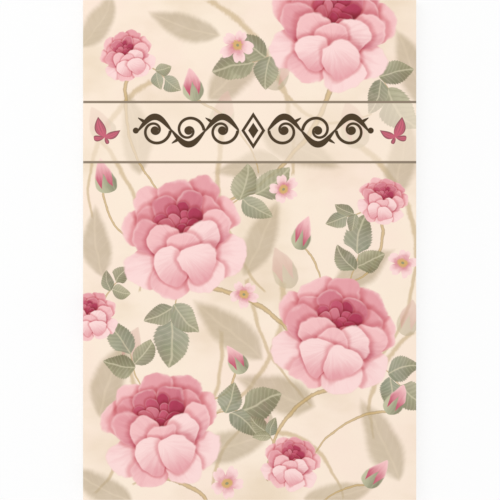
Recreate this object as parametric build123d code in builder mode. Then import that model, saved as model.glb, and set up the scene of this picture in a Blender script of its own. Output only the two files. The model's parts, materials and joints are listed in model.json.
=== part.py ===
from build123d import *
import os

# Address book, perfect bound: loose leaves glued at the back into a one-piece wraparound card cover.
# Millimetres. The book lies on its back cover, front cover up: +Z up, +Y towards the head of the page,
# +X towards the fore edge. The origin is the middle of the back cover's outer face.

# Trim size of the closed book, cover included
trim_width = 152.4
trim_height = 228.6

# Cover card, and the radius inside each of its two spine folds
cover_thickness = 0.28
fold_inner_radius = 0.35

# Paper of the book block, and the air that lies between two leaves
leaf_caliper = 0.110
leaf_gap = 0.0044

# Leaves in each section, from the front of the book to the back
title_leaf_count = 1
owner_leaf_count = 1
leaves_per_letter = 2
notes_leaf_count = 2
letters = "abcdefghijklmnopqrstuvwxyz"

# Hot-melt bead: its land between the folds and the leaves' roots
glue_land = 0.15

# Stack of the book block, counted upwards from the back cover
leaf_pitch = leaf_caliper + leaf_gap
notes_start = 0
letters_start = notes_start + notes_leaf_count
owner_start = letters_start + leaves_per_letter * len(letters)
title_start = owner_start + owner_leaf_count
leaf_count = title_start + title_leaf_count
block_thickness = leaf_count * leaf_pitch

# Places across the book
fore_edge_x = trim_width / 2
spine_x = -trim_width / 2
spine_inner_x = spine_x + cover_thickness
root_x = spine_inner_x + fold_inner_radius + glue_land
panel_length = fore_edge_x - root_x
panel_middle_x = (fore_edge_x + root_x) / 2

# Heights through the book
block_bottom = cover_thickness
block_top = block_bottom + block_thickness
book_thickness = block_top + cover_thickness

os.makedirs("parts", exist_ok=True)


def leaf_bottom(leaf):
    return block_bottom + leaf * leaf_pitch


# Back cover panel, from the spine's lower flange to the fore edge
with BuildPart() as back_cover:
    with BuildSketch(Plane.XY):
        with Locations((panel_middle_x, 0)):
            Rectangle(panel_length, trim_height)
    extrude(amount=cover_thickness)
back_cover.part.label = "back_cover"
export_step(back_cover.part, "parts/back_cover.step")

# Front cover panel, over the whole block
with BuildPart() as front_cover:
    with BuildSketch(Plane.XY.offset(block_top)):
        with Locations((panel_middle_x, 0)):
            Rectangle(panel_length, trim_height)
    extrude(amount=cover_thickness)
front_cover.part.label = "front_cover"
export_step(front_cover.part, "parts/front_cover.step")

# Spine of the cover card: one strip with two rounded folds and a short flange at each panel
with BuildPart() as spine_cover:
    with BuildSketch(Plane.XZ):
        with BuildLine():
            FilletPolyline(
                (root_x, cover_thickness / 2),
                (spine_x + cover_thickness / 2, cover_thickness / 2),
                (spine_x + cover_thickness / 2, book_thickness - cover_thickness / 2),
                (root_x, book_thickness - cover_thickness / 2),
                radius=fold_inner_radius + cover_thickness / 2,
            )
        trace(line_width=cover_thickness)
    extrude(amount=trim_height / 2, both=True)
spine_cover.part.label = "spine_cover"
export_step(spine_cover.part, "parts/spine_cover.step")

# Hot-melt bead: fills the spine channel, rounded to the inside of both folds, flat against the leaves
with BuildPart() as spine_glue:
    with BuildSketch(Plane.XZ):
        with BuildLine():
            FilletPolyline(
                (root_x, block_bottom),
                (spine_inner_x, block_bottom),
                (spine_inner_x, block_top),
                (root_x, block_top),
                radius=fold_inner_radius,
            )
            Line((root_x, block_top), (root_x, block_bottom))
        make_face()
    extrude(amount=trim_height / 2, both=True)
spine_glue.part.label = "spine_glue"
export_step(spine_glue.part, "parts/spine_glue.step")

# Sections of the book block: name, first leaf counted from the back, number of leaves
sections = [
    ("notes_leaves", notes_start, notes_leaf_count),
    ("owner_leaf", owner_start, owner_leaf_count),
    ("title_leaf", title_start, title_leaf_count),
]
for place, letter in enumerate(reversed(letters)):
    sections.append(("letter_" + letter, letters_start + place * leaves_per_letter, leaves_per_letter))

# Every leaf is a sheet of its own, with its root edge in the glue
for section_name, first_leaf, section_leaves in sections:
    with BuildPart() as section:
        for leaf in range(first_leaf, first_leaf + section_leaves):
            with BuildSketch(Plane.XY.offset(leaf_bottom(leaf))):
                with Locations((panel_middle_x, 0)):
                    Rectangle(panel_length, trim_height)
            extrude(amount=leaf_caliper)
    section.part.label = section_name
    export_step(section.part, "parts/" + section_name + ".step")

print("leaves", leaf_count, "block", round(block_thickness, 3), "book", round(book_thickness, 3))
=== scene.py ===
import json
import math
import random
from functools import partial
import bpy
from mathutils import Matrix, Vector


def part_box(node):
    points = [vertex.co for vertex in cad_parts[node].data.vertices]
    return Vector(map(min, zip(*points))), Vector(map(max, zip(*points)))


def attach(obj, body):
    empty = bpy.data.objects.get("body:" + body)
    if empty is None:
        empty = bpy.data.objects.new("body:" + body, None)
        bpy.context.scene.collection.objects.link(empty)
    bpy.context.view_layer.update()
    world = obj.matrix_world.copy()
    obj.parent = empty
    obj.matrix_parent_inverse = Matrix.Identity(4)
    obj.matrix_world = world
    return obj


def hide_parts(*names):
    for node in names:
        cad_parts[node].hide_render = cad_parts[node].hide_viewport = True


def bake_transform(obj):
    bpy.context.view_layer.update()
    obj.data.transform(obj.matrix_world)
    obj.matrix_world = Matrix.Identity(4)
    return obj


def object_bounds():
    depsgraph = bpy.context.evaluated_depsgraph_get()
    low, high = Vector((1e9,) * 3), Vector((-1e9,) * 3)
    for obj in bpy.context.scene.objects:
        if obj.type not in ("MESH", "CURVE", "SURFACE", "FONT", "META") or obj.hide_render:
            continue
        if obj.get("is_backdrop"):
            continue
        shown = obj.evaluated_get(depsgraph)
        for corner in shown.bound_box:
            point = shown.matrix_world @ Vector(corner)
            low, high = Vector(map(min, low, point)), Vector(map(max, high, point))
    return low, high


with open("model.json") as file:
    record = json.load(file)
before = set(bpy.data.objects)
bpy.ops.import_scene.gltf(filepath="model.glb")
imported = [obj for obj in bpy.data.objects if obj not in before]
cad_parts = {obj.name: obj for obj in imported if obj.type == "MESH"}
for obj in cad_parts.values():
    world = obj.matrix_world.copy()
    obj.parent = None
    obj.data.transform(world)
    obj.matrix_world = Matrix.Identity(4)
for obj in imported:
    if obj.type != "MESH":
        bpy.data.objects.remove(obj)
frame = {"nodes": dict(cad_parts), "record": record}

from inspect import signature

import bpy

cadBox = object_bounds()

# Measures of the closed book, read from the frame, in metres
frontLow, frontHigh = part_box("front_cover")
glueLow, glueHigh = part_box("spine_glue")
titleLow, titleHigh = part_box("title_leaf")
book = {
    "spine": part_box("spine_cover")[0].x,  # outer face of the spine
    "root": frontLow.x,  # where panels and leaves begin
    "fore": frontHigh.x,
    "tail": frontLow.y,
    "head": frontHigh.y,
    "blockBottom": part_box("back_cover")[1].z,
    "blockTop": frontLow.z,
    "top": frontHigh.z,
    "card": frontHigh.z - frontLow.z,
    "caliper": titleHigh.z - titleLow.z,
}
toMm = 1000.0  # print is laid out in millimetres
pageWide = (book["fore"] - book["spine"]) * toMm
pageHigh = (book["head"] - book["tail"]) * toMm
dice = random.Random(11)
seedScale = 1000  # a motif's seed rides in z, reduced so that it hardly counts as distance

# Node helpers: they wire the tree that was started last, and take sockets or plain values
bench = {"tree": None}


def feed(socket, value):
    if isinstance(value, str):
        value = ink[value]
    if isinstance(value, bpy.types.NodeSocket):
        bench["tree"].links.new(value, socket)
    elif socket.type == "RGBA" and len(value) == 3:
        socket.default_value = (*value, 1.0)
    else:
        socket.default_value = value


def put(kind, values, **settings):
    node = bench["tree"].nodes.new("ShaderNode" + kind)
    for field, value in settings.items():
        setattr(node, field, value)
    for slot, value in values.items():
        feed(node.inputs[slot], value)
    return node


def calc(operation, *values):
    return put("Math", dict(enumerate(values)), operation=operation).outputs[0]


times, minus, plus, ratio = [partial(calc, name) for name in ("MULTIPLY", "SUBTRACT", "ADD", "DIVIDE")]
larger, smaller, more, less = [
    partial(calc, name) for name in ("MAXIMUM", "MINIMUM", "GREATER_THAN", "LESS_THAN")]
scaled, power, absolute, fraction = [  # scaled: value, factor, offset
    partial(calc, name) for name in ("MULTIPLY_ADD", "POWER", "ABSOLUTE", "FRACT")]


def apart(a, b):
    return absolute(minus(a, b))


def calcVector(operation, *values):
    node = put("VectorMath", dict(enumerate(values)), operation=operation)
    return node.outputs["Value" if operation in ("LENGTH", "DOT_PRODUCT") else "Vector"]


stretch = partial(calcVector, "MULTIPLY")


def ramp(value, start, stop, low=0.0, high=1.0):
    sockets = {0: value, 1: start, 2: stop, 3: low, 4: high}
    return put("MapRange", sockets, interpolation_type="SMOOTHSTEP", clamp=False).outputs[0]


def fade(value, start, stop, most=1.0):
    return ramp(value, start, stop, most, 0.0)


def mix(share, under, over, mode="MIX"):
    sockets = {0: share, 6: under, 7: over}
    return put("Mix", sockets, data_type="RGBA", blend_type=mode).outputs[2]


def split(vector):
    return put("SeparateXYZ", {0: vector}).outputs[:3]


def join(x, y, z=0.0):
    return put("CombineXYZ", {0: x, 1: y, 2: z}).outputs[0]


def lengthOf(x, y):
    return calcVector("LENGTH", join(x, y))


def noise(vector, scale, detail=2.0, wanted="Fac"):
    return put("TexNoise", {"Vector": vector, "Scale": scale, "Detail": detail}).outputs[wanted]


def drift(vector, field, scale, detail, reach):  # moved aside by noise
    shift = calcVector("SUBTRACT", noise(field, scale, detail, "Color"), (0.5, 0.5, 0.5))
    return calcVector("MULTIPLY_ADD", shift, (reach, reach, 0), vector)


def place(point, x, y, turn, wide, high):  # a point (x, y, 1) in a motif's own frame
    c, s = math.cos(math.radians(turn)), math.sin(math.radians(turn))
    across = calcVector("DOT_PRODUCT", point, (c / wide, s / wide, -(x * c + y * s) / wide))
    along = calcVector("DOT_PRODUCT", point, (-s / high, c / high, (x * s - y * c) / high))
    return across, along


def nearestMotif(point, spots):  # the frame of whichever motif lies closest
    chosen = None
    for *spot, seed in spots:
        local = join(*place(point, *spot), seed)
        far = calcVector("LENGTH", local)
        if chosen is None:
            chosen, best = local, far
            continue
        sockets = {0: less(far, best), 4: chosen, 5: local}
        chosen = put("Mix", sockets, data_type="VECTOR").outputs[1]
        best = smaller(far, best)
    return chosen


# A socket's name says its kind; the rest are plain numbers
socketKind = {
    "Spot": "Vector", "Sheet": "Vector",
    "Below": "Color", "Base": "Color", "Rim": "Color", "Colour": "Color", "Tone": "Color",
}


def makeGroup(name, nodesOf):  # the function's arguments are the inputs, and it returns the outputs
    tree = bench["tree"] = bpy.data.node_groups.new(name, "ShaderNodeTree")

    def addSockets(labels, side):
        for label in labels:
            kind = "NodeSocket" + socketKind.get(label, "Float")
            tree.interface.new_socket(label, in_out=side, socket_type=kind)

    inputs = [label.title() for label in signature(nodesOf).parameters]
    addSockets(inputs, "INPUT")
    given = tree.nodes.new("NodeGroupInput").outputs
    outputs = nodesOf(*[given[label] for label in inputs])
    addSockets(outputs, "OUTPUT")
    result = tree.nodes.new("NodeGroupOutput").inputs
    for label, value in outputs.items():
        feed(result[label], value)
    return tree


def useGroup(group, values):
    return put("Group", values, node_tree=group).outputs


# Colours of the print, linear; the helpers take them by name
ink = {
    "ground": (0.960, 0.820, 0.675),
    "wash": (0.955, 0.775, 0.660),
    "tanWash": (0.76, 0.60, 0.42),
    "palest": (0.97, 0.70, 0.68),
    "pale": (0.91, 0.535, 0.54),
    "blush": (0.80, 0.36, 0.39),
    "pink": (0.66, 0.205, 0.255),
    "rose": (0.56, 0.095, 0.160),
    "deep": (0.43, 0.038, 0.092),
    "wine": (0.25, 0.012, 0.036),
    "shadow": (0.80, 0.45, 0.49),
    "leafDark": (0.115, 0.125, 0.058),
    "leafMid": (0.275, 0.285, 0.165),
    "leafLight": (0.50, 0.49, 0.32),
    "leafBlue": (0.27, 0.35, 0.275),
    "vein": (0.63, 0.60, 0.42),
    "tan": (0.47, 0.325, 0.175),
    "stem": (0.55, 0.39, 0.18),
    "stemDark": (0.28, 0.18, 0.075),
    "gold": (0.68, 0.45, 0.14),
    "rule": (0.265, 0.205, 0.145),
    "scroll": (0.058, 0.032, 0.009),
    "butterfly": (0.60, 0.125, 0.185),
    "wingRim": (0.235, 0.085, 0.095),
}

# One petal: fan-shaped, deep at its base, pale at its rim, shading the petals under it
petal = {
    "narrow": 0.28, "wobble": 0.36, "edge": 0.09, "turnedAway": -0.15, "streak": 0.7, "wet": 0.30,
    "lip": 0.5, "lipWidth": 0.2, "shade": 0.75, "shadeReach": 0.24, "tone": (-1.0, 0.75),
    "lipRise": (-0.5, 0.6), "brush": (0.36, 0.62, 0.15, 1.25),
}


def petalNodes(across, along, below, inked, base, rim, grain, streak, lip):
    fan = scaled(along, petal["narrow"], 1 - petal["narrow"])
    spread = ratio(across, fan)
    reach = lengthOf(spread, along)
    reach = scaled(grain, petal["wobble"], reach)
    inside = minus(1 + petal["wobble"] / 2, reach)
    tone = ramp(along, *petal["tone"])
    tone = scaled(spread, petal["turnedAway"], tone)  # one side turns away from the light
    tone = scaled(streak, petal["streak"], tone)
    colour = mix(tone, base, rim)
    light = fade(inside, 0.0, petal["lipWidth"], petal["lip"])
    light = times(light, ramp(along, *petal["lipRise"]))
    light = times(light, ramp(grain, *petal["brush"]))  # brush marks come and go
    light = times(light, lip)
    colour = mix(light, colour, "palest")
    wet = fade(inside, 0.0, petal["edge"], petal["wet"])  # paint dries darker at its very edge
    colour = mix(wet, colour, base)
    shade = ramp(inside, -petal["shadeReach"], 0.0, 0.0, petal["shade"])
    shade = times(shade, inked)
    below = mix(shade, below, "shadow", "MULTIPLY")
    cover = ramp(inside, 0.0, petal["edge"])
    return {"Colour": mix(cover, below, colour), "Inked": larger(inked, cover)}


petalGroup = makeGroup("petal", petalNodes)


# A full peony seen from the front and a little above, in units of its radius.
# Each petal: x, y, turn of its rim from upright, half width, half length, base and rim colour.
peony = {
    "back": [
        (-0.60, 0.20, 64, 0.44, 0.42, "blush", "pale"),
        (0.62, 0.15, -68, 0.44, 0.42, "blush", "pale"),
        (-0.35, 0.50, 27, 0.43, 0.40, "pink", "pale"),
        (0.38, 0.49, -31, 0.43, 0.40, "pink", "blush"),
        (0.02, 0.58, -3, 0.42, 0.37, "pink", "blush"),
        (-0.57, -0.38, 118, 0.45, 0.42, "blush", "palest"),
        (0.59, -0.41, -121, 0.45, 0.42, "blush", "palest"),
        (-0.27, -0.62, 158, 0.44, 0.36, "pink", "pale"),
        (0.26, -0.64, -160, 0.46, 0.36, "blush", "palest"),
        (-0.40, 0.27, 44, 0.31, 0.34, "rose", "blush"),
        (0.42, 0.26, -46, 0.31, 0.34, "rose", "blush"),
        (-0.16, 0.41, 13, 0.31, 0.31, "rose", "pink"),
        (0.20, 0.41, -17, 0.31, 0.31, "deep", "pink"),
    ],
    "heart": {  # small upright petals crowded in the middle
        "count": 13, "turn": 137.5, "wide": 0.352, "high": 0.256, "rise": 0.19, "half": (0.125, 0.17),
        "long": 1.15, "lean": -95, "sway": 14, "lip": 0.35,
        "colours": (("wine", "rose"), ("deep", "pink"), ("wine", "deep")),
    },
    "front": [
        (-0.50, -0.02, 38, 0.38, 0.43, "rose", "blush"),
        (0.51, -0.05, -41, 0.38, 0.43, "rose", "pale"),
        (-0.27, -0.16, 14, 0.40, 0.41, "pink", "pale"),
        (0.30, -0.20, -17, 0.40, 0.41, "pink", "palest"),
        (0.0, -0.27, 3, 0.37, 0.36, "pink", "pale"),
        (-0.24, -0.47, 12, 0.40, 0.33, "blush", "palest"),
        (0.20, -0.50, -8, 0.44, 0.32, "blush", "palest"),
    ],
    "warp": (1.8, 2.0, 0.20),  # noise scale, detail and reach
    "grain": (3.1, 3.0), "streak": (2.4, 4.0),  # noise scale and detail
    "rays": (4.6, 1.3), "rayRoot": 0.25,  # how close the streaks are round and outwards, how low they meet
}


def peonyPetals():
    heart, rows = peony["heart"], []
    for k in range(heart["count"]):
        turn = math.radians(heart["turn"] * k)
        away = math.sqrt((k + 0.5) / heart["count"])
        x, y = heart["wide"] * away * math.cos(turn), heart["rise"] + heart["high"] * away * math.sin(turn)
        half = dice.uniform(*heart["half"])
        lean = heart["lean"] * x + dice.uniform(-heart["sway"], heart["sway"])
        rows.append((x, y, lean, half, half * heart["long"], *heart["colours"][k % 3]))
    rows.sort(key=lambda row: -row[1])
    return peony["back"] + rows + peony["front"]


def peonyNodes(spot, below):
    seeded = stretch(spot, (1, 1, 5 * seedScale))
    moved = split(drift(spot, seeded, *peony["warp"]))
    point = join(moved[0], moved[1], 1.0)
    grain = noise(seeded, *peony["grain"])
    x, y, seed = split(seeded)
    turn = calc("ARCTAN2", x, plus(y, peony["rayRoot"]))
    far = lengthOf(x, y)
    rays = join(times(turn, peony["rays"][0]), times(far, peony["rays"][1]), seed)
    streak = minus(noise(rays, *peony["streak"]), 0.5)
    colour, inked = below, 0.0
    for x, y, turn, wide, high, base, rim in peonyPetals():
        lip = 1.0 if wide > peony["heart"]["half"][1] else peony["heart"]["lip"]
        across, along = place(point, x, y, turn, wide, high)
        values = {"Across": across, "Along": along, "Below": colour, "Inked": inked, "Base": base,
                  "Rim": rim, "Grain": grain, "Streak": streak, "Lip": lip}
        painted = useGroup(petalGroup, values)
        colour, inked = painted["Colour"], painted["Inked"]
    return {"Colour": colour}


# One leaf along its own x from base to tip, toothed, with a midrib and side veins
leaf = {
    "widest": 0.80, "taper": 0.28, "blunt": 0.8, "teeth": 7.5, "toothDepth": 0.11, "veins": 4.4,
    "veinSlant": -0.62, "bend": 0.5, "lit": 0.55, "mottle": (1.2, -0.25), "dim": 0.17, "vary": 0.5,
    "mid": (0.0, 0.55), "light": (0.45, 1.0), "cool": (0.9, -0.6, 0.1, 0.7), "thin": (0.5, 0.72),
    # start, stop and strength of each touch of ink
    "vein": (0.0, 0.14, 0.30), "hollow": (0.5, 0.30, 0.24), "midrib": (0.012, 0.075, 0.75),
    "edge": (0.0, 0.12, 0.35),
}


def leafNodes(spot, below, softness, strength, tan):
    seeded = stretch(spot, (1, 1, seedScale))
    x, y, seed = split(seeded)
    arch = larger(minus(1.0, times(x, x)), 0.0)
    bow = times(minus(seed, 0.5), leaf["bend"])
    y = scaled(arch, bow, y)
    off = absolute(y)
    girth = scaled(x, -leaf["taper"], leaf["widest"])
    girth = times(power(arch, leaf["blunt"]), girth)
    tooth = fraction(scaled(x, -leaf["teeth"], off))
    tooth = times(tooth, minus(1.0, tan))  # faint leaves are smooth
    girth = times(girth, scaled(tooth, -leaf["toothDepth"], 1.0))
    inside = minus(girth, off)
    blotch = noise(stretch(seeded, (1, 0.6, 9)), 2.4, 3.0)
    tone = scaled(y, leaf["lit"], scaled(blotch, *leaf["mottle"]))
    tone = scaled(seed, leaf["vary"], minus(tone, leaf["dim"]))
    colour = mix(ramp(tone, *leaf["mid"]), "leafDark", "leafMid")
    colour = mix(ramp(tone, *leaf["light"]), colour, "leafLight")
    cool = fraction(times(seed, 7.3))
    cool = times(cool, ramp(x, *leaf["cool"]))
    colour = mix(cool, colour, "leafBlue")
    rib = fraction(times(scaled(off, leaf["veinSlant"], x), leaf["veins"]))
    rib = apart(rib, 0.5)
    colour = mix(fade(rib, *leaf["vein"]), colour, "vein")
    colour = mix(fade(rib, *leaf["hollow"]), colour, "leafDark")
    colour = mix(fade(off, *leaf["midrib"]), colour, "vein")
    colour = mix(fade(inside, *leaf["edge"]), colour, "leafDark")
    colour = mix(tan, colour, "tan")
    thin = scaled(blotch, *leaf["thin"])  # the wash pools and thins
    mask = times(ramp(inside, 0.0, softness), strength)
    mask = smaller(times(mask, thin), 1.0)
    return {"Colour": mix(mask, below, colour)}


leafGroup = makeGroup("leaf", leafNodes)


# A closed bud: green sepals below, a pink tip above
bud = {
    "girth": 0.56, "taper": -0.27, "sepals": 1.9, "sepalTop": -0.6, "sepalDip": 1.7, "sepalEdge": (0.0, 0.12),
    "edge": (0.0, 0.09), "lip": (0.0, 0.18, 0.5), "blush": (-0.2, 1.2), "ribs": 0.7,
}


def budNodes(spot, below, strength, tan):
    x, y, _ = split(spot)
    off = absolute(x)
    arch = larger(minus(1.0, times(y, y)), 0.0)
    girth = times(calc("SQRT", arch), scaled(y, bud["taper"], bud["girth"]))
    inside = minus(girth, off)
    fold = noise(stretch(spot, (3.2, 0.7, 3 * seedScale)), 2.0)
    lift = scaled(fold, 0.7, scaled(x, 0.3, y))
    flower = mix(ramp(lift, *bud["blush"]), "rose", "pale")
    flower = mix(fade(inside, *bud["lip"]), flower, "palest")
    sepal = minus(fraction(times(x, bud["sepals"])), 0.5)
    sepal = scaled(absolute(sepal), bud["sepalDip"], minus(bud["sepalTop"], y))
    green = mix(ramp(x, -0.5, 0.5), "leafLight", "leafDark")
    green = mix(times(fold, bud["ribs"]), green, "vein")
    flower = mix(ramp(sepal, *bud["sepalEdge"]), flower, green)
    flower = mix(tan, flower, "tan")
    mask = times(ramp(inside, *bud["edge"]), strength)
    return {"Colour": mix(mask, below, flower)}


budGroup = makeGroup("bud", budNodes)


# A small open blossom with five notched petals and a golden eye
blossom = {
    "petals": 5, "reach": 0.86, "cleft": -0.48, "round": 2.6, "ragged": 0.24, "notch": (0.0, 0.12, 0.10),
    "edge": (0.0, 0.08), "tone": (0.0, 0.75), "stamenLength": 0.42,
    "seam": (0.5, 0.38, 0.45), "stamens": (0.06, 0.12, 0.85), "eye": (0.06, 0.11, 0.9),
}


def blossomNodes(spot, below):
    seeded = stretch(spot, (1, 1, 3 * seedScale))
    x, y, seed = split(seeded)
    far = lengthOf(x, y)
    turn = times(calc("ARCTAN2", y, x), blossom["petals"] / math.tau)
    lobe = apart(fraction(turn), 0.5)
    blotch = noise(seeded, 2.2, 3.0)
    bulge = power(times(lobe, 2.0), blossom["round"])
    notch = fade(lobe, *blossom["notch"])
    outline = minus(scaled(bulge, blossom["cleft"], blossom["reach"]), notch)
    outline = scaled(blotch, blossom["ragged"], outline)
    inside = minus(outline, far)
    tone = scaled(blotch, 0.8, minus(far, 0.45))
    colour = mix(ramp(tone, *blossom["tone"]), "pink", "palest")
    colour = mix(fade(lobe, *blossom["seam"]), colour, "blush")
    hair = noise(join(times(turn, 3.4), 0.0, seed), 3.0)
    eye = scaled(hair, -blossom["stamenLength"], plus(far, 0.02))
    colour = mix(fade(eye, *blossom["stamens"]), colour, "gold")
    colour = mix(fade(far, *blossom["eye"]), colour, "leafMid")
    mask = ramp(inside, *blossom["edge"])
    return {"Colour": mix(mask, below, colour)}


blossomGroup = makeGroup("blossom", blossomNodes)


# A butterfly with raised wings, in millimetres from where they meet. Each wing: x, y, turn, half width,
# half length, bow to one side, and how fast its girth grows from the root and shrinks to the tip.
butterfly = {
    "wings": [
        (-1.5, 4.7, 18, 2.6, 5.0, 0.34, 0.80, 1.15),
        (3.6, 1.6, -66, 1.8, 4.1, -0.40, 0.80, 1.15),
        (-2.4, -0.3, 97, 1.5, 2.65, 0.22, 0.85, 0.30),
        (0.8, -1.6, -156, 1.05, 1.75, 0.0, 0.70, 0.35),
    ],
    "edge": 0.2,
    "margin": (0.1, 1.15),  # where the darker margin fades
    "veins": 2.0,  # to half a wing
    "veinInk": (0.05, 0.2, 0.6),
    "spots": [(10.0, 166.0, 1), (142.9, 166.0, -1)],  # x, y and which way it faces
}


def butterflyNodes(spot):
    mask, margin = 0.0, 0.0
    for x, y, turn, wide, high, bow, grow, shrink in butterfly["wings"]:
        across, along = place(spot, x, y, turn, wide, high)
        arch = minus(1.0, times(along, along))
        across = scaled(arch, bow, across)
        root = larger(scaled(along, 0.5, 0.5), 0.0)
        tip = larger(scaled(along, -0.5, 0.5), 0.0)
        widest = grow / (grow + shrink)
        most = widest ** grow * (1 - widest) ** shrink
        girth = times(power(root, grow), power(tip, shrink))
        girth = ratio(girth, most)
        inside = minus(girth, absolute(across))
        inside = times(inside, wide)
        wing = ramp(inside, 0.0, butterfly["edge"])
        vein = ratio(across, larger(girth, 0.05))
        vein = fraction(scaled(vein, butterfly["veins"], 0.5))
        vein = apart(vein, 0.5)
        vein = fade(vein, *butterfly["veinInk"])
        dark = larger(vein, fade(inside, *butterfly["margin"]))
        dark = times(dark, ramp(along, -1.0, -0.1))
        mask = larger(mask, wing)
        margin = larger(margin, times(dark, wing))
    return {"Mask": mask, "Margin": margin}


butterflyGroup = makeGroup("butterfly", butterflyNodes)


# Where the motifs lie on a panel, in millimetres from the spine edge and up from the tail
layout = {
    "peonies": [  # x, y, radius, turn, headings of the leaf sprays
        (114, 216, 28, -8, (203, 312)), (45, 121, 28, 10, (30, 264)), (115, 76, 27, -12, (72, 322)),
        (36, 33, 27, 8, (12, 112)), (137, 137, 11, -16, (205,)), (20, 203, 12, 18, (330,)),
        (95, 17, 13, -10, (128,)), (3, 84, 12, 12, (48,)),
    ],
    "spray": 0.74,  # leaflet length, share of the peony's radius
    "sprayLeast": 11.0,
    "sprayRoot": 0.66,  # where its stalk comes out, share of the radius
    "leaflets": ((0, 0.95, 1.0), (56, 0.62, 0.82), (-54, 0.70, 0.80)),  # lean, place on the stalk, length
    "stalk": (0.5, 0.04, 0.45),  # start as a share of the radius, bow, half width
    "taper": (-0.6, 1.1),  # of every stem
    "rough": 0.9,  # how far its edge wavers
    "girth": 0.88,  # a leaflet's girth, share of its half length
    "blossoms": [(70, 207, 8), (74, 94, 7), (146, 108, 7), (66, 8, 8), (92, 142, 7)],
    "buds": [  # x, y, radius, turn
        (101, 122, 8, -22), (10, 148, 8, 18), (70, 64, 7, 30), (143, 46, 8, -28), (50, 190, 8, 14),
        (134, 12, 8, -34),
    ],
    "ghostBuds": [
        (64, 178, 10, -14), (124, 172, 11, 16), (92, 106, 10, 24), (22, 70, 10, -20), (80, 40, 11, 8),
        (149, 84, 9, -12), (90, 196, 10, -30), (8, 172, 9, 26),
    ],
    "ghosts": [  # x, y, turn, half length, girth
        (72, 196, 40, 20, 12), (100, 160, -25, 22, 12), (22, 168, 100, 20, 11), (82, 120, 66, 20, 11),
        (146, 158, 80, 20, 11), (66, 78, 140, 22, 12), (14, 56, 70, 20, 11), (136, 28, 115, 22, 12),
        (70, 26, 20, 20, 11), (149, 198, 110, 20, 11), (46, 218, 160, 18, 10), (88, 50, 160, 21, 12),
        (8, 118, 96, 18, 10), (76, 152, 190, 18, 9), (128, 106, 30, 18, 10), (8, 8, 150, 18, 10),
        (6, 220, 60, 16, 9), (118, 4, 10, 18, 9),
    ],
    "stems": [  # x, y at both ends, bow, half width
        (45, 98, 104, 60, 0.16, 1.3), (115, 52, 84, 10, -0.18, 1.2), (36, 10, 62, -14, 0.2, 1.1),
        (114, 190, 54, 133, 0.14, 1.3), (20, 192, 39, 136, -0.12, 0.9), (137, 127, 120, 98, 0.2, 0.8),
        (101, 116, 108, 96, 0.12, 0.6), (10, 142, 30, 116, -0.2, 0.6), (70, 59, 54, 44, 0.18, 0.6),
        (143, 40, 104, 19, -0.15, 0.8), (50, 184, 80, 151, 0.12, 0.7), (134, 6, 104, -6, -0.14, 0.6),
    ],
    "ghostStems": [
        (60, 228, 96, 150, 0.14, 1.7), (30, 190, 4, 130, -0.16, 1.4), (124, 164, 150, 96, 0.16, 1.6),
        (64, 170, 82, 96, -0.12, 1.3), (92, 98, 62, 40, 0.14, 1.6), (22, 62, 6, 4, 0.14, 1.3),
        (80, 32, 118, 2, 0.2, 1.4), (150, 76, 132, 30, -0.14, 1.3), (90, 188, 132, 176, -0.2, 1.0),
        (8, 164, 26, 96, 0.12, 1.1), (76, 100, 104, 44, -0.1, 1.0), (64, 76, 24, 8, 0.16, 1.1),
        (152, 120, 124, 52, 0.12, 1.0), (60, 8, 84, 40, 0.14, 0.9),
    ],
}


def ahead(x, y, heading, far):
    return x + far * math.cos(math.radians(heading)), y + far * math.sin(math.radians(heading))


def sprays():
    for x, y, radius, _, headings in layout["peonies"]:
        length = max(radius * layout["spray"], layout["sprayLeast"])
        for heading in headings:
            yield x, y, radius, length, heading


def leafSpots():  # three leaflets to a spray
    spots = []
    for x, y, radius, length, heading in sprays():
        for lean, start, share in layout["leaflets"]:
            aim = heading + lean + dice.uniform(-9, 9)
            half = length * share * dice.uniform(0.9, 1.1) / 2
            joint = ahead(x, y, heading, radius * layout["sprayRoot"] + length * start)
            middle, seed = ahead(*joint, aim, half), dice.random() / seedScale
            spots.append((*middle, aim, half, half * layout["girth"], seed))
    return spots


def roundSpots(rows):
    spots = []
    for x, y, radius, *turn in rows:
        turned = turn[0] if turn else dice.uniform(0, 72)
        spots.append((x, y, turned, radius, radius, dice.random() / seedScale))
    return spots


def stemRows():  # the branches, and a stalk for each spray
    rows = list(layout["stems"])
    start, bow, half = layout["stalk"]
    for x, y, radius, length, heading in sprays():
        end = ahead(x, y, heading, radius * layout["sprayRoot"] + length)
        rows.append((*ahead(x, y, heading, radius * start), *end, bow, half))
    return rows


def stemDistance(point, rows):  # to the nearest stem, each a shallow bow; 1 at its edge
    nearest = None
    for x0, y0, x1, y1, bow, half in rows:
        length = math.hypot(x1 - x0, y1 - y0)
        heading = math.degrees(math.atan2(y1 - y0, x1 - x0))
        x, y = place(point, x0, y0, heading, length, length)
        sag = times(times(x, minus(1.0, x)), 4 * bow)
        off = apart(y, sag)
        off = ratio(off, scaled(x, *layout["taper"]))
        past = minus(apart(x, 0.5), 0.5)
        far = times(larger(off, past), length / half)
        nearest = far if nearest is None else smaller(nearest, far)
    hairs = noise(stretch(point, (1.0, 0.6, 1.0)), 0.9, 3.0)
    return scaled(hairs, layout["rough"], minus(nearest, layout["rough"] / 2))


# Pale band between two rules, in millimetres up from the tail
band = {"upper": 181.95, "lower": 154.45, "middle": 168.9, "veil": (-0.1, 0.1, 0.52), "rule": (0.43, 0.67)}

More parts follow.
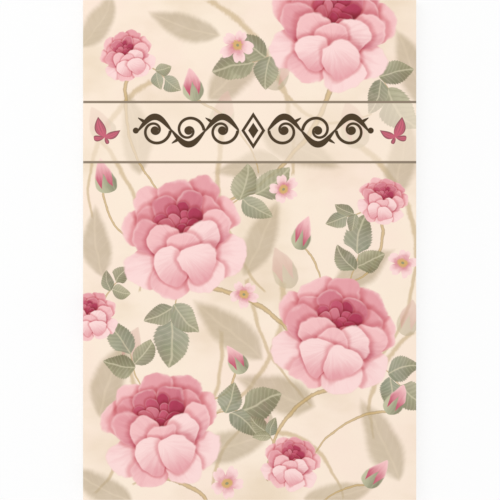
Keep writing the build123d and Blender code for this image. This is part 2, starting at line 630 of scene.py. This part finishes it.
# Scroll ornament in the band: a swelling wave with a tendril in each bend, mirrored left and right
scroll = {
    "centre": 77.9, "start": 6.5, "step": 15.4, "bends": 3, "wave": 6.3, "thin": 0.42, "swell": 1.10,
    "soft": 0.12, "curl": 5.65, "eye": 1.45, "turns": 1.32, "tighten": 1.45, "tendril": (0.222, 0.518),
    "leaf": (6.2, 4.9, -58, 1.1, 2.7), "leafTaper": (-0.45, 0.55), "leafEdge": (0.93, 1.05),
    "ball": (1.3, 1.5), "ballGap": 1.0,
    "diamond": (5.6, 8.6), "frame": 0.84, "frameEdge": (0.12, 0.16), "coreEdge": (0.40, 0.45),
}


def scrollMask(point):
    x, y, _ = split(point)
    x = apart(x, scroll["centre"])
    y = minus(y, band["middle"])
    run = minus(x, scroll["start"])
    cell = ratio(run, scroll["step"])
    count = calc("FLOOR", cell)
    sign = scaled(calc("FLOORED_MODULO", count, 2.0), -2.0, 1.0)
    a = times(minus(fraction(cell), 0.5), scroll["step"])
    b = times(y, sign)
    phase = times(a, math.pi / scroll["step"])
    top = calc("COSINE", phase)
    slope = times(calc("SINE", phase), scroll["wave"] * math.pi / scroll["step"])
    steep = calc("SQRT", scaled(slope, slope, 1.0))
    off = absolute(scaled(top, -scroll["wave"], b))
    off = ratio(off, steep)
    width = scaled(top, scroll["swell"], scroll["thin"])
    drawn = fade(minus(off, width), -scroll["soft"], scroll["soft"])
    far = lengthOf(a, b)
    turn = ratio(calc("ARCTAN2", b, a), math.tau)
    turn = fraction(minus(turn, 0.5))
    for lap in (0, 1):  # the tendril winds in from the stem to its eye
        left = scaled(turn, -1 / scroll["turns"], 1 - lap / scroll["turns"])
        left = larger(left, 0.0)
        arm = scaled(power(left, scroll["tighten"]), scroll["curl"], scroll["eye"])
        gap = minus(apart(far, arm), scaled(left, *scroll["tendril"]))
        drawn = larger(drawn, fade(gap, -scroll["soft"], scroll["soft"]))
    drawn = larger(drawn, fade(far, scroll["eye"], scroll["eye"] + 0.2))
    across, along = place(join(a, b, 1.0), *scroll["leaf"])
    across = ratio(across, scaled(along, *scroll["leafTaper"]))
    blade = lengthOf(across, along)
    drawn = larger(drawn, fade(blade, *scroll["leafEdge"]))
    reach = scroll["bends"]
    within = times(more(cell, 0.0), less(cell, reach))
    drawn = times(drawn, within)
    wide, high = scroll["diamond"]
    rhomb = plus(ratio(x, wide), ratio(absolute(y), high))
    drawn = larger(drawn, fade(apart(rhomb, scroll["frame"]), *scroll["frameEdge"]))
    drawn = larger(drawn, fade(rhomb, *scroll["coreEdge"]))
    end = minus(run, reach * scroll["step"] + scroll["ballGap"])
    ball = lengthOf(end, y)
    return larger(drawn, fade(ball, *scroll["ball"]))


# Ground of the print, twigs and stems. Noise is given as scale, detail and, where it moves things, reach.
wash = {
    "drift": (0.055, 3.0, 5.0), "cloudNoise": (0.028, 3.0), "cloud": (0.35, 0.7), "hazeNoise": (0.024, 4.0),
    "haze": (0.46, 0.74, 0.0, 0.7), "twig": (0.3, 1.5, 0.75), "ghostVeil": 0.18, "branch": (0.1, 0.9),
    "branchTint": 0.5, "stem": (0.8, 1.15, 0.75),
}

# Layers of motifs from the ground up: places, group and inking. The dice are thrown in this order.
layers = {
    "ghosts": (
        [(*row, dice.random() / seedScale) for row in layout["ghosts"]], leafGroup,
        {"Softness": 0.35, "Strength": 0.72, "Tan": 0.72}),
    "ghostBuds": (roundSpots(layout["ghostBuds"]), budGroup, {"Strength": 0.62, "Tan": 0.5}),
    "leaves": (leafSpots(), leafGroup, {"Softness": 0.08, "Strength": 0.93, "Tan": 0.18}),
    "buds": (roundSpots(layout["buds"]), budGroup, {"Strength": 1.0, "Tan": 0.0}),
    "blossoms": (roundSpots(layout["blossoms"]), blossomGroup, {}),
    "peonies": (
        roundSpots(row[:4] for row in layout["peonies"]), makeGroup("peony", peonyNodes), {}),
}


def printNodes(sheet, front):
    point = drift(sheet, sheet, *wash["drift"])

    def paint(layer, colour):
        spots, group, inking = layers[layer]
        spot = nearestMotif(point, spots)
        # A motif waits for the paint under it, which keeps the shader's memory small
        spot = calcVector("MULTIPLY_ADD", colour, (1e-7, 1e-7, 0.0), spot)
        return useGroup(group, {"Spot": spot, "Below": colour, **inking})["Colour"]

    cloud = noise(sheet, *wash["cloudNoise"])
    colour = mix(ramp(cloud, *wash["cloud"]), "ground", "wash")
    haze = noise(stretch(sheet, (0.8, 1.3, 9.0)), *wash["hazeNoise"])
    colour = mix(ramp(haze, *wash["haze"]), colour, "tanWash")
    twig = stemDistance(point, layout["ghostStems"])
    colour = mix(fade(twig, *wash["twig"]), colour, "stem")
    colour = paint("ghostBuds", paint("ghosts", colour))
    colour = mix(wash["ghostVeil"], colour, "ground")
    stem = stemDistance(point, stemRows())
    branch = mix(ramp(stem, *wash["branch"]), "gold", "stemDark")
    branch = mix(wash["branchTint"], branch, "stem")
    colour = mix(fade(stem, *wash["stem"]), colour, branch)
    for layer in ("leaves", "buds", "blossoms", "peonies"):
        colour = paint(layer, colour)
    # The band, on the front panel alone
    y = split(sheet)[1]
    off = apart(y, (band["upper"] + band["lower"]) / 2)
    edge = minus(off, (band["upper"] - band["lower"]) / 2)
    veil = times(fade(edge, *band["veil"]), front)
    colour = mix(veil, colour, "ground")
    rule = fade(absolute(edge), *band["rule"])
    colour = mix(times(rule, front), colour, "rule")
    colour = mix(times(scrollMask(sheet), front), colour, "scroll")
    for x, y, facing in butterfly["spots"]:
        spot = join(*place(sheet, x, y, 0, facing, 1.0), 1.0)
        drawn = useGroup(butterflyGroup, {"Spot": spot})
        wings = mix(drawn["Margin"], "butterfly", "wingRim")
        colour = mix(times(drawn["Mask"], front), colour, wings)
    return {"Colour": colour}


# Fine fibre and slow cloudiness of paper and board
fibre = {"fine": 1.9, "along": 0.45, "cloud": 0.09, "fineShare": 0.55, "cloudShare": 0.45}


def fibreNodes(sheet, depth):
    drawn = stretch(sheet, (1.0, fibre["along"], 1.0))  # fibres lie along the grain
    fine = noise(drawn, fibre["fine"], 5.0)
    cloud = noise(sheet, fibre["cloud"], 2.0)
    mixed = scaled(fine, fibre["fineShare"], times(cloud, fibre["cloudShare"]))
    tone = scaled(minus(mixed, 0.5), depth, 1.0)
    return {"Tone": join(tone, tone, tone), "Height": fine}


# Paper browns a little towards its cut edges
browning = {"cloud": 0.11, "ragged": -9.0, "zone": (-16.0, -3.0)}


def toningNodes(sheet):
    x, y, _ = split(sheet)
    pastSide = minus(apart(x, pageWide / 2), pageWide / 2)
    pastEnd = minus(apart(y, pageHigh / 2), pageHigh / 2)
    out = larger(pastSide, pastEnd)
    out = scaled(noise(sheet, browning["cloud"]), browning["ragged"], out)
    return {"Mask": ramp(out, *browning["zone"])}


# Ruled lines in a field, every so many of them a heading line, with a short label above each of the others
ruling = {
    "line": (0.10, 0.20), "heading": (0.26, 0.36), "label": (0.55, 0.7), "labelRise": 1.7,
    "labelLeast": 8.0, "labelMore": 5.0,
}


def rulingNodes(sheet, left, right, bottom, top, pitch, every):
    x, y, _ = split(sheet)
    rise = ratio(minus(y, bottom), pitch)
    count = calc("FLOOR", plus(rise, 0.5))
    above = times(minus(rise, count), pitch)
    line = fade(absolute(above), *ruling["line"])
    heavy = fade(absolute(above), *ruling["heading"])
    field = times(more(x, left), less(x, right))
    field = times(field, more(y, minus(bottom, 0.5)))
    field = times(field, less(y, plus(top, 0.5)))
    first = less(calc("FLOORED_MODULO", count, every), 0.5)
    others = times(field, minus(1.0, first))
    reach = calc("FLOORED_MODULO", times(count, 3.7), ruling["labelMore"])  # of differing length
    reach = plus(left, plus(reach, ruling["labelLeast"]))
    label = fade(apart(above, ruling["labelRise"]), *ruling["label"])
    label = times(less(x, reach), label)
    heading = times(times(heavy, first), field)
    return {"Line": times(line, others), "Heading": heading, "Label": times(label, others)}


# Index tabs printed at the fore edge, one step lower for each letter
tab = {"first": 217.5, "last": 11.1, "half": 3.5, "deep": 6.6, "corner": 1.6, "soft": 0.1, "steps": 25}


def tabNodes(spot):
    x, y, _ = split(spot)
    inner = (book["fore"] - book["root"]) * toMm - tab["deep"] + tab["corner"]
    dx = larger(minus(inner, x), 0.0)
    dy = minus(absolute(y), tab["half"] - tab["corner"])
    far = lengthOf(dx, larger(dy, 0.0))
    return {"Mask": fade(far, tab["corner"] - tab["soft"], tab["corner"] + tab["soft"])}


fibreGroup = makeGroup("fibre", fibreNodes)
toningGroup = makeGroup("edgeToning", toningNodes)
rulingGroup = makeGroup("ruling", rulingNodes)
tabGroup = makeGroup("indexTab", tabNodes)
printGroup = makeGroup("coverPrint", printNodes)
print("node groups built:", sum(len(group.nodes) for group in bpy.data.node_groups), "nodes")


def startMaterial(name, shine):
    material = bpy.data.materials.new(name)
    material.use_nodes = True
    bench["tree"] = material.node_tree
    shader = material.node_tree.nodes["Principled BSDF"]
    shader.inputs["Specular IOR Level"].default_value = shine
    return material, shader


def uvPoint(layer):
    return put("UVMap", {}, uv_map=layer).outputs[0]


# Surface of a sheet. A finish is its shine, depth of the fibre tone, roughness and strength of the relief.
surface = {"roughSpread": 0.16, "relief": 0.0002}


def makeMaterial(name, finish, colourOf):
    shine, depth, rough, bump = finish
    material, shader = startMaterial(name, shine)
    sheet = uvPoint("sheet")
    colour = colourOf(sheet)
    grain = useGroup(fibreGroup, {"Sheet": sheet, "Depth": depth})
    spread = surface["roughSpread"]
    feed(shader.inputs["Base Color"], mix(1.0, colour, grain["Tone"], "MULTIPLY"))
    feed(shader.inputs["Roughness"], scaled(grain["Height"], spread, rough - spread / 2))
    relief = put("Bump", {"Height": grain["Height"], "Strength": bump, "Distance": surface["relief"]})
    feed(shader.inputs["Normal"], relief.outputs[0])
    return material


# Cover card: printed and film-coated outside, bare board inside, pale core at the cut edges
cardStyle = {
    "board": (0.87, 0.85, 0.80), "core": (0.83, 0.79, 0.72), "pulp": (0.55, 0.48, 0.38),
    "flecks": (0.66, 0.78, 0.0, 0.16), "crease": (0.0, 0.5, 0.22),
    "film": (0.22, 0.05, 0.44, 0.05), "inside": (0.2, 0.06, 0.68, 0.18), "cut": (0.2, 0.20, 0.85, 0.18),
}


def printColour(sheet):
    x, y, _ = split(sheet)
    front = more(x, 0.0)
    half = book["top"] * toMm / 2
    side = absolute(plus(x, half))
    x = minus(side, half)  # the back mirrors the front at the spine
    colour = useGroup(printGroup, {"Sheet": join(x, y, 1.0), "Front": front})["Colour"]
    crease = fade(absolute(x), *cardStyle["crease"])  # print pales on the folds
    crease = times(crease, noise(sheet, 0.7, 4.0))
    return mix(crease, colour, cardStyle["board"])


def boardColour(base, sheet):
    flecks = ramp(noise(sheet, 0.9, 4.0), *cardStyle["flecks"])  # of darker pulp
    return mix(flecks, base, cardStyle["pulp"])


# Leaves: cream uncoated paper, printed in soft brown and rose
paper = {
    "cream": (0.885, 0.835, 0.73), "toned": (0.70, 0.575, 0.40), "toning": 0.16,
    "brown": (0.36, 0.275, 0.20), "rose": (0.60, 0.27, 0.27), "label": (0.62, 0.53, 0.43),
    "tab": (0.64, 0.30, 0.30), "finish": (0.15, 0.10, 0.86, 0.22),
    "edgeShade": 0.55, "edgeTab": 0.6, "edgeFinish": (0.1, 0.22, 0.92, 0.3),
    "marks": (("Line", 0.55, "brown"), ("Heading", 0.8, "rose"), ("Label", 0.5, "label")),
    "letters": {"Left": 15.0, "Right": 140.0, "Bottom": 17.0, "Top": 204.0, "Pitch": 7.8, "Every": 4.0},
    "notes": {"Left": 15.0, "Right": 140.0, "Bottom": 17.0, "Top": 211.0, "Pitch": 8.0, "Every": 99.0},
    "owner": {"Left": 26.0, "Right": 126.0, "Bottom": 46.0, "Top": 182.0, "Pitch": 13.6, "Every": 5.0},
    "border": {"middle": 76.0, "halfWide": 62.0, "halfHigh": 100.0, "lines": ((0.0, 0.45), (-1.8, 0.15))},
    "diamond": {"wide": 9.0, "high": 13.0, "frame": 0.86, "frameEdge": (0.05, 0.08), "coreEdge": (0.45, 0.50)},
    "borderInk": 0.75,
}


def pageColour(form, sheet, labelled=True, framed=False, tabbed=False):
    toned = useGroup(toningGroup, {"Sheet": sheet})["Mask"]
    colour = mix(times(toned, paper["toning"]), paper["cream"], paper["toned"])
    if form:
        ruled = useGroup(rulingGroup, {"Sheet": sheet, **paper[form]})
        for mark, share, tint in paper["marks"]:
            if labelled or mark != "Label":
                colour = mix(times(ruled[mark], share), colour, paper[tint])
    if framed:  # a double border, and a diamond where the page is else blank
        border, diamond, strength = paper["border"], paper["diamond"], paper["borderInk"]
        x, y, _ = split(sheet)
        dx = apart(x, border["middle"])
        dy = apart(y, pageHigh / 2)
        out = larger(minus(dx, border["halfWide"]), minus(dy, border["halfHigh"]))
        drawn = [fade(apart(out, offset), half, half + 0.1, strength) for offset, half in border["lines"]]
        if not form:
            rhomb = plus(ratio(dx, diamond["wide"]), ratio(dy, diamond["high"]))
            ring = apart(rhomb, diamond["frame"])
            drawn.append(fade(ring, *diamond["frameEdge"], strength))
            drawn.append(fade(rhomb, *diamond["coreEdge"], strength))
        for line in drawn:
            colour = mix(line, colour, paper["rose"])
    if tabbed:
        mark = useGroup(tabGroup, {"Spot": uvPoint("tab")})["Mask"]
        colour = mix(mark, colour, paper["tab"])
    return colour


def pageEdgeColour(sheet):  # cut edges: each leaf a shade of its own, tab ink carried over the edge
    shade = put("Attribute", {}, attribute_name="leafTone").outputs["Fac"]
    colour = mix(times(shade, paper["edgeShade"]), paper["cream"], paper["toned"])
    mark = useGroup(tabGroup, {"Spot": uvPoint("tab")})["Mask"]
    return mix(times(mark, paper["edgeTab"]), colour, paper["tab"])


# Hot melt: warm, waxy, with a slow ripple
glue = {
    "dark": (0.74, 0.62, 0.40), "light": (0.86, 0.79, 0.60), "ripple": (0.3, 0.7),
    "finish": (0.45, 0.08, 0.40, 0.25),
}


def glueColour(sheet):
    ripple = noise(sheet, 0.5, 3.0)
    return mix(ramp(ripple, *glue["ripple"]), glue["dark"], glue["light"])


cardFinish = [
    makeMaterial("printedCard", cardStyle["film"], printColour),
    makeMaterial("boardInside", cardStyle["inside"], partial(boardColour, cardStyle["board"])),
    makeMaterial("cardEdge", cardStyle["cut"], partial(boardColour, cardStyle["core"])),
]
pageEdge = makeMaterial("pageEdge", paper["edgeFinish"], pageEdgeColour)
pageFinish = {
    node: makeMaterial(name, paper["finish"], partial(pageColour, form, **extras))
    for node, name, form, extras in (
        ("title_leaf", "titlePage", None, {"framed": True}),
        ("owner_leaf", "ownerPage", "owner", {"framed": True}),
        ("notes_leaves", "notesPage", "notes", {"labelled": False}),
        ("letter", "letterPage", "letters", {"tabbed": True}),
    )
}
glueFinish = makeMaterial("hotMelt", glue["finish"], glueColour)
print("materials built:", len(bpy.data.materials))


def addObject(name, data):
    thing = bpy.data.objects.new(name, data)
    bpy.context.scene.collection.objects.link(thing)
    return thing


def stripFaces(columns, rows):  # with the kind of each: 0 outer side, 1 inner side, 2 cut edge
    faces, kinds = [], []

    def corner(row, column, level):
        return (level * (rows + 1) + row) * columns + column

    for row in range(rows):
        for column in range(columns - 1):
            ring = [(row, column), (row, column + 1), (row + 1, column + 1), (row + 1, column)]
            faces.append([corner(r, c, 0) for r, c in ring])
            faces.append([corner(r, c, 1) for r, c in reversed(ring)])
            kinds += [0, 1]
        for column in (0, columns - 1):  # ends of the profile
            quad = [corner(row, column, 0), corner(row + 1, column, 0),
                    corner(row + 1, column, 1), corner(row, column, 1)]
            faces.append(quad if column == 0 else quad[::-1])
            kinds.append(2)
    for column in range(columns - 1):  # tail and head edges
        for row in (0, rows):
            quad = [corner(row, column, 0), corner(row, column, 1),
                    corner(row, column + 1, 1), corner(row, column + 1, 0)]
            faces.append(quad if row == 0 else quad[::-1])
            kinds.append(2)
    return faces, kinds


def sharpenBorders(mesh):  # where sides of different kinds meet
    kindsAt = {}
    for face in mesh.polygons:
        for key in face.edge_keys:
            kindsAt.setdefault(key, set()).add(face.material_index)
    for edge in mesh.edges:
        edge.use_edge_sharp = len(kindsAt[edge.key]) > 1


# A strip of sheet from two matching profiles, outer and inner, run from tail to head
def buildStrip(name, outer, inner, sheetAlong, rows, materials, trim=0.0):
    vertices, sheetAt = [], []
    tail, head = book["tail"] + trim, book["head"] - trim
    for profile in (outer, inner):
        for row in range(rows + 1):
            y = tail + (head - tail) * row / rows
            for (x, z), s in zip(profile, sheetAlong):
                vertices.append((x, y, z))
                sheetAt.append((s * toMm, (y - book["tail"]) * toMm))
    faces, kinds = stripFaces(len(outer), rows)
    mesh = bpy.data.meshes.new(name)
    mesh.from_pydata(vertices, [], faces)
    for material in materials:
        mesh.materials.append(material)
    mesh.polygons.foreach_set("material_index", kinds)
    mesh.polygons.foreach_set("use_smooth", [kind < 2 for kind in kinds])
    uv = mesh.uv_layers.new(name="sheet")
    for loop in mesh.loops:
        uv.data[loop.index].uv = sheetAt[loop.vertex_index]
    sharpenBorders(mesh)
    mesh.update()
    return addObject(name, mesh)


def steps(start, stop, count):
    return [start + (stop - start) * k / count for k in range(count + 1)]


# Cover card: two panels and the folded spine strip
card = {
    "frontHinge": 0.0006, "backHinge": 0.00012,  # length of the finely stepped zone at a panel's spine end
    "foldInner": 0.00035, "hingeSteps": 14, "panelSteps": 12, "foldSteps": 8, "spineSteps": 24, "rows": 12,
}


def panelLine(hinge):
    near = steps(book["root"], book["root"] + hinge, card["hingeSteps"])
    return near + steps(book["root"] + hinge, book["fore"], card["panelSteps"])[1:]


def makeFrontPanel():
    line = panelLine(card["frontHinge"])
    outer = [(x, book["top"]) for x in line]
    inner = [(x, book["blockTop"]) for x in line]
    along = [x - book["spine"] for x in line]
    piece = buildStrip("frontPanel", outer, inner, along, card["rows"], cardFinish)
    hingeEnd = (book["root"] + card["frontHinge"], 0, 0)
    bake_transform(piece)
    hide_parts("front_cover")


def foldedLine(left, upper, lower, radius, foldSteps, spineSteps):  # round both folds, from front to back
    line = []
    for first, middle in ((90, upper - radius), (180, lower + radius)):
        if line:
            line += [(left, z) for z in steps(upper - radius, lower + radius, spineSteps)[1:-1]]
        for degrees in steps(first, first + 90, foldSteps):
            turn = math.radians(degrees)
            line.append((left + radius + radius * math.cos(turn), middle + radius * math.sin(turn)))
    return line


def spineLine(inset):  # with the front and the back flange
    radius = card["foldInner"] + book["card"] - inset
    upper, lower = book["top"] - inset, inset
    line = foldedLine(book["spine"] + inset, upper, lower, radius, card["foldSteps"], card["spineSteps"])
    return [(book["root"], upper), *line, (book["root"], lower)]


def makeSpineStrip():  # returns where on the sheet the back panel begins
    outer, inner = spineLine(0.0), spineLine(book["card"])
    along = [book["root"] - book["spine"]]
    for (x0, z0), (x1, z1) in zip(outer, outer[1:]):
        along.append(along[-1] - math.hypot(x1 - x0, z1 - z0))
    piece = buildStrip("spineStrip", outer[::-1], inner[::-1], along[::-1], card["rows"], cardFinish)
    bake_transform(piece)
    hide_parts("spine_cover")
    return along[-1]


def makeBackPanel(sheetStart):
    line = panelLine(card["backHinge"])[::-1]
    outer = [(x, 0.0) for x in line]
    inner = [(x, book["blockBottom"]) for x in line]
    along = [sheetStart - (x - book["root"]) for x in line]
    piece = buildStrip("backPanel", outer, inner, along, card["rows"], cardFinish)
    hingeEnd = (book["root"] + card["backHinge"], 0, 0)
    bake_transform(piece)
    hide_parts("back_cover")


makeFrontPanel()
makeBackPanel(makeSpineStrip())
print("cover card built")

# Hot-melt bead between the leaves' roots and the spine
bead = {"foldSteps": 6, "spineSteps": 24, "rows": 12}


def makeGlueBead():
    radius = card["foldInner"]
    outer = foldedLine(glueLow.x, glueHigh.z, glueLow.z, radius, bead["foldSteps"], bead["spineSteps"])
    inner = [(book["root"], z) for _, z in outer]
    along = [z for _, z in outer]
    piece = buildStrip("glueBead", outer[::-1], inner[::-1], along[::-1], bead["rows"], [glueFinish] * 3)
    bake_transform(piece)
    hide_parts("spine_glue")


makeGlueBead()
print("glue bead built")

# Leaves: every sheet of a section in one piece
sheetStyle = {
    "columns": 24, "rows": 8, "trim": 0.00008,
    "spring": 0.689,  # reach over which a leaf would lag right back to the binding
}


def makeSheet(node, level, finish, tabMiddle):
    fore = book["fore"] - dice.uniform(0, sheetStyle["trim"])
    line = steps(book["root"], fore, sheetStyle["columns"])
    upper = [(x, level + book["caliper"]) for x in line]
    lower = [(x, level) for x in line]
    along = [x - book["root"] for x in line]
    trim = dice.uniform(0, sheetStyle["trim"])
    finishes = [finish, finish, pageEdge]
    sheet = buildStrip(node + "Sheet", upper, lower, along, sheetStyle["rows"], finishes, trim)
    mesh = sheet.data
    tabUv = mesh.uv_layers.new(name="tab")
    sheetUv = mesh.uv_layers["sheet"]
    for loop, spot in zip(mesh.loops, sheetUv.data):
        tabUv.data[loop.index].uv = (spot.uv[0], spot.uv[1] - tabMiddle)
    for face in mesh.polygons:
        if face.material_index == 1:  # the under side is printed to be read from its own left
            for loop in face.loop_indices:
                sheetUv.data[loop].uv[0] = (book["fore"] - book["root"]) * toMm - sheetUv.data[loop].uv[0]
    shade = mesh.attributes.new("leafTone", "FLOAT", "POINT")
    shade.data.foreach_set("value", [dice.random()] * len(mesh.vertices))
    return sheet


def makeSection(node, body):
    low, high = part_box(node)
    levels = [low.z]
    if high.z - low.z > 1.5 * book["caliper"]:  # a second leaf
        levels.append(high.z - book["caliper"])
    finish = pageFinish["letter" if node.startswith("letter_") else node]
    tabMiddle = -pageHigh  # no tab
    if node.startswith("letter_"):
        step = ord(node[-1]) - ord("a")
        tabMiddle = tab["first"] + (tab["last"] - tab["first"]) * step / tab["steps"]
    sheets = [makeSheet(node, level, finish, tabMiddle) for level in levels]
    piece = sheets[0]
    if len(sheets) > 1:
        bpy.ops.object.select_all(action="DESELECT")
        for sheet in sheets:
            sheet.select_set(True)
        bpy.context.view_layer.objects.active = piece
        bpy.ops.object.join()
    piece.name = node + "Sheets"
    if body == "binding":
        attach(piece, body)
    else:
        start = (book["root"] + sheetStyle["spring"], 0, 0)
        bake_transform(piece)
    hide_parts(node)


bodyOf = {node: body for body, nodes in frame["record"]["behaviour"]["bodies"].items() for node in nodes}
for node in sorted(frame["nodes"]):
    if node.startswith("letter_") or node in pageFinish:
        makeSection(node, bodyOf[node])

# Floor, light and camera
studio = {
    "floorDrop": 0.0009, "floorSize": 6.0, "floorGrey": 0.95, "floorRough": 0.9,
    "floorWhite": 0.78, "sky": 0.845, "lampSize": 0.9, "lampPower": 3.6, "lampPlace": (-0.55, 0.45, 1.1),
    "lens": 150.0, "sensor": 36.0, "aside": 0.0002, "farthest": 20.0,
}


def seenPlainly():  # where the background shows as white
    rays = put("LightPath", {}).outputs
    mirrored = larger(rays["Is Glossy Ray"], rays["Is Transmission Ray"])
    return larger(rays["Is Camera Ray"], mirrored)


def makeFloor():
    half = studio["floorSize"] / 2
    z = -studio["floorDrop"]
    mesh = bpy.data.meshes.new("floor")
    corners = [(-half, -half, z), (half, -half, z), (half, half, z), (-half, half, z)]
    mesh.from_pydata(corners, [], [(0, 1, 2, 3)])
    floor = addObject("floor", mesh)
    material, shader = startMaterial("studioFloor", 0.0)
    shader.inputs["Base Color"].default_value = (*[studio["floorGrey"]] * 3, 1)
    shader.inputs["Roughness"].default_value = studio["floorRough"]
    glow = put("Emission", {"Color": (1, 1, 1), "Strength": 1.0})
    share = times(seenPlainly(), studio["floorWhite"])
    blended = put("MixShader", {0: share, 1: shader.outputs[0], 2: glow.outputs[0]})
    feed(material.node_tree.nodes["Material Output"].inputs["Surface"], blended.outputs[0])
    mesh.materials.append(material)
    floor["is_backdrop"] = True


def makeLight():
    world = bpy.data.worlds.new("studio")
    bpy.context.scene.world = world
    world.use_nodes = True
    bench["tree"] = world.node_tree
    back = world.node_tree.nodes["Background"]
    bright = scaled(seenPlainly(), 1.0 - studio["sky"], studio["sky"])
    back.inputs["Color"].default_value = (1, 1, 1, 1)
    feed(back.inputs["Strength"], bright)
    lamp = bpy.data.lights.new("softbox", "AREA")
    lamp.shape = "SQUARE"
    lamp.size = studio["lampSize"]
    lamp.energy = studio["lampPower"]
    holder = addObject("softbox", lamp)
    holder.location = studio["lampPlace"]
    holder.rotation_euler = (-holder.location).to_track_quat("-Z", "Y").to_euler()


def makeCamera():
    data = bpy.data.cameras.new("camera")
    data.lens = studio["lens"]
    data.sensor_width = studio["sensor"]
    camera = addObject("camera", data)
    distance = (book["head"] - book["tail"]) * studio["lens"] / studio["sensor"]
    camera.location = (studio["aside"], 0, book["top"] + distance)
    data.clip_end = studio["farthest"]
    bpy.context.scene.camera = camera


makeFloor()
makeLight()
makeCamera()
bpy.context.scene.view_settings.view_transform = "Standard"
print("studio ready")

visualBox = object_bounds()
